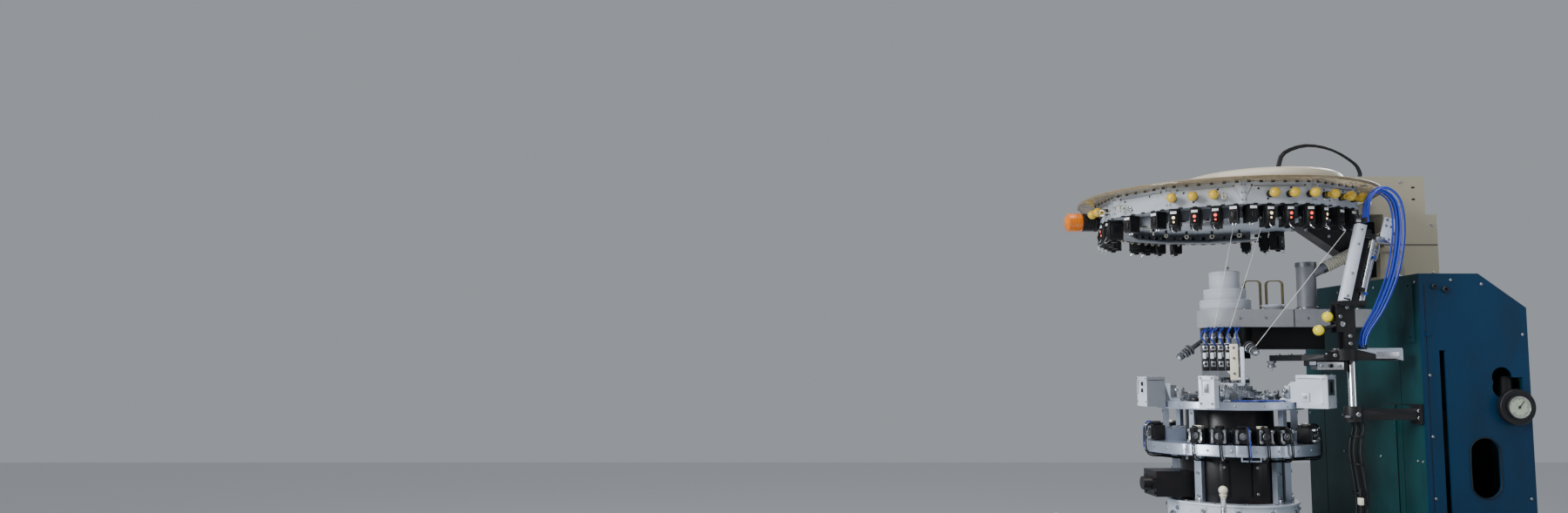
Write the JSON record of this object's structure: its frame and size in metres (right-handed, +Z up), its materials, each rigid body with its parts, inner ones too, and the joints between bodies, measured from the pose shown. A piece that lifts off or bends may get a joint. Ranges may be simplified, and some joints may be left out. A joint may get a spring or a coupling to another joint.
{
  "type": "industrial knitting machine",
  "caption": "Free-standing circular sock knitting machine: cabinet with sloping controls, ringed needle cylinder, upright and yarn-control disc above.",
  "frame": {"origin": "floor level under the middle of the machine's box", "axes": "+Z up, -Y towards the operator, +X to the operator's right"},
  "size_m": [0.664, 1.021, 1.9159],
  "materials": {
    "teal_paint": "satin",
    "blue_paint": "satin",
    "dark_deck": "satin",
    "black_frame": "matt",
    "foot_steel": "rough",
    "door_cream": "gloss",
    "panel_blue": "satin",
    "panel_white": "satin",
    "yellow_plastic": "gloss",
    "red_plastic": "gloss",
    "key_metal": "polished",
    "lever_metal": "polished",
    "cast_grey": "cast",
    "white_enamel": "gloss",
    "black_drum": "oily",
    "ring_aluminium": "machined",
    "motor_black": "matt",
    "needle_steel": "ground",
    "gear_steel": "ground",
    "light_grey": "satin",
    "hose_cream": "ribbed",
    "olive_brass": "dull",
    "blue_tube": "gloss",
    "boom_beige": "satin",
    "lid_clear": "smoked",
    "sensor_black": "matt",
    "amber_lens": "gloss",
    "gauge_metal": "satin",
    "cable_black": "matt",
    "motor_grey": "painted",
    "duct_steel": "dull"
  },
  "bodies": {
    "machine": {"base_frame": "black_frame", "levelling_feet": "foot_steel", "side_panel_right": "teal_paint", "side_panel_left": "teal_paint", "rear_panel": "teal_paint", "deck_plate": "dark_deck", "panel_frame": "panel_blue", "panel_face": "panel_white", "estop_base": "yellow_plastic", "base_skirt": "cast_grey", "base_ring": "white_enamel", "drum_housing": "black_drum", "support_posts": "ring_aluminium", "lower_ring": "ring_aluminium", "selector_motors": "motor_black", "upper_ring": "ring_aluminium", "actuator_boxes": "white_enamel", "cam_box": "ring_aluminium", "sinker_cap": "needle_steel", "dial_housing": "black_drum", "belt_cover": "light_grey", "cap_stack": "light_grey", "suction_tube": "light_grey", "suction_hose": "hose_cream", "strap_hoops": "olive_brass", "finger_block": "needle_steel", "arm_post": "lever_metal", "arm_beam": "black_frame", "slant_arm": "white_enamel", "air_tubes": "blue_tube", "upright_right": "blue_paint", "upright_left": "blue_paint", "upright_front": "teal_paint", "upright_back": "teal_paint", "pressure_gauge": "gauge_metal", "neck_boom": "boom_beige", "boom_gusset": "black_frame", "lid": "lid_clear", "dome": "boom_beige", "fascia_band": "light_grey", "sensor_bodies": "sensor_black", "tension_knobs": "yellow_plastic", "lower_tray": "light_grey", "beacon": "amber_lens", "cables": "cable_black", "drive_motor": "motor_grey", "drive_belt": "cable_black", "suction_duct": "duct_steel"},
    "door": {"front_door": "door_cream"},
    "stop_mushroom": {"estop_button": "red_plastic"},
    "stop_key": {"stop_button": "red_plastic"},
    "start_key": {"start_button": "yellow_plastic"},
    "key": {"key_switch": "key_metal"},
    "lever": {"clamp_lever": "lever_metal"},
    "cylinder": {"needle_cylinder": "needle_steel", "cylinder_gear": "gear_steel"},
    "dial_body": {"dial": "needle_steel"},
    "drive": {"handwheel": "gear_steel"},
    "fingers": {"yarn_fingers": "needle_steel"},
    "trip": {"trip_lever": "yellow_plastic"}
  },
  "joints": [
    {"name": "door_hinge", "type": "hinge", "parent": "machine", "child": "door", "pos_m": [0.297, -0.4915, 0.5], "axis": [0, 0, 1], "range_deg": [0, 90]},
    {"name": "emergency_stop", "type": "slide", "parent": "machine", "child": "stop_mushroom", "axis": [0, -0.7004, 0.7138], "range_m": [-0.004, 0], "stiffness_N_per_m": 400},
    {"name": "stop_press", "type": "slide", "parent": "machine", "child": "stop_key", "axis": [0, -0.7004, 0.7138], "range_m": [-0.004, 0], "stiffness_N_per_m": 300},
    {"name": "start_press", "type": "slide", "parent": "machine", "child": "start_key", "axis": [0, -0.7004, 0.7138], "range_m": [-0.004, 0], "stiffness_N_per_m": 300},
    {"name": "key_turn", "type": "hinge", "parent": "machine", "child": "key", "pos_m": [-0.28, -0.45907, 0.95253], "axis": [0, -0.7004, 0.7138], "range_deg": [-90, 0]},
    {"name": "clamp_turn", "type": "hinge", "parent": "machine", "child": "lever", "pos_m": [0.15, -0.1305, 1.082], "axis": [0.4797, 0.8774, 0], "range_deg": [0, 40]},
    {"name": "cylinder_spin", "type": "hinge", "parent": "machine", "child": "cylinder", "pos_m": [0, -0.0485, 1.063], "axis": [0, 0, 1], "continuous": true},
    {"name": "dial_spin", "type": "hinge", "parent": "machine", "child": "dial_body", "pos_m": [0, -0.0485, 1.413], "axis": [0, 0, 1], "continuous": true},
    {"name": "drive_spin", "type": "hinge", "parent": "machine", "child": "drive", "pos_m": [0, 0.1515, 0.863], "axis": [0, 0, 1], "continuous": true},
    {"name": "finger_lift", "type": "hinge", "parent": "machine", "child": "fingers", "pos_m": [0.06284, -0.08884, 1.419], "axis": [0.4226, 0.9063, 0], "range_deg": [0, 25]},
    {"name": "trip_swing", "type": "hinge", "parent": "machine", "child": "trip", "pos_m": [0.206, 0.0875, 1.521], "axis": [1, 0, 0], "range_deg": [-12, 18]}
  ],
  "couplings": [
    {"joint": "dial_spin", "follows": "cylinder_spin", "ratio": 1},
    {"joint": "drive_spin", "follows": "cylinder_spin", "ratio": 2}
  ]
}
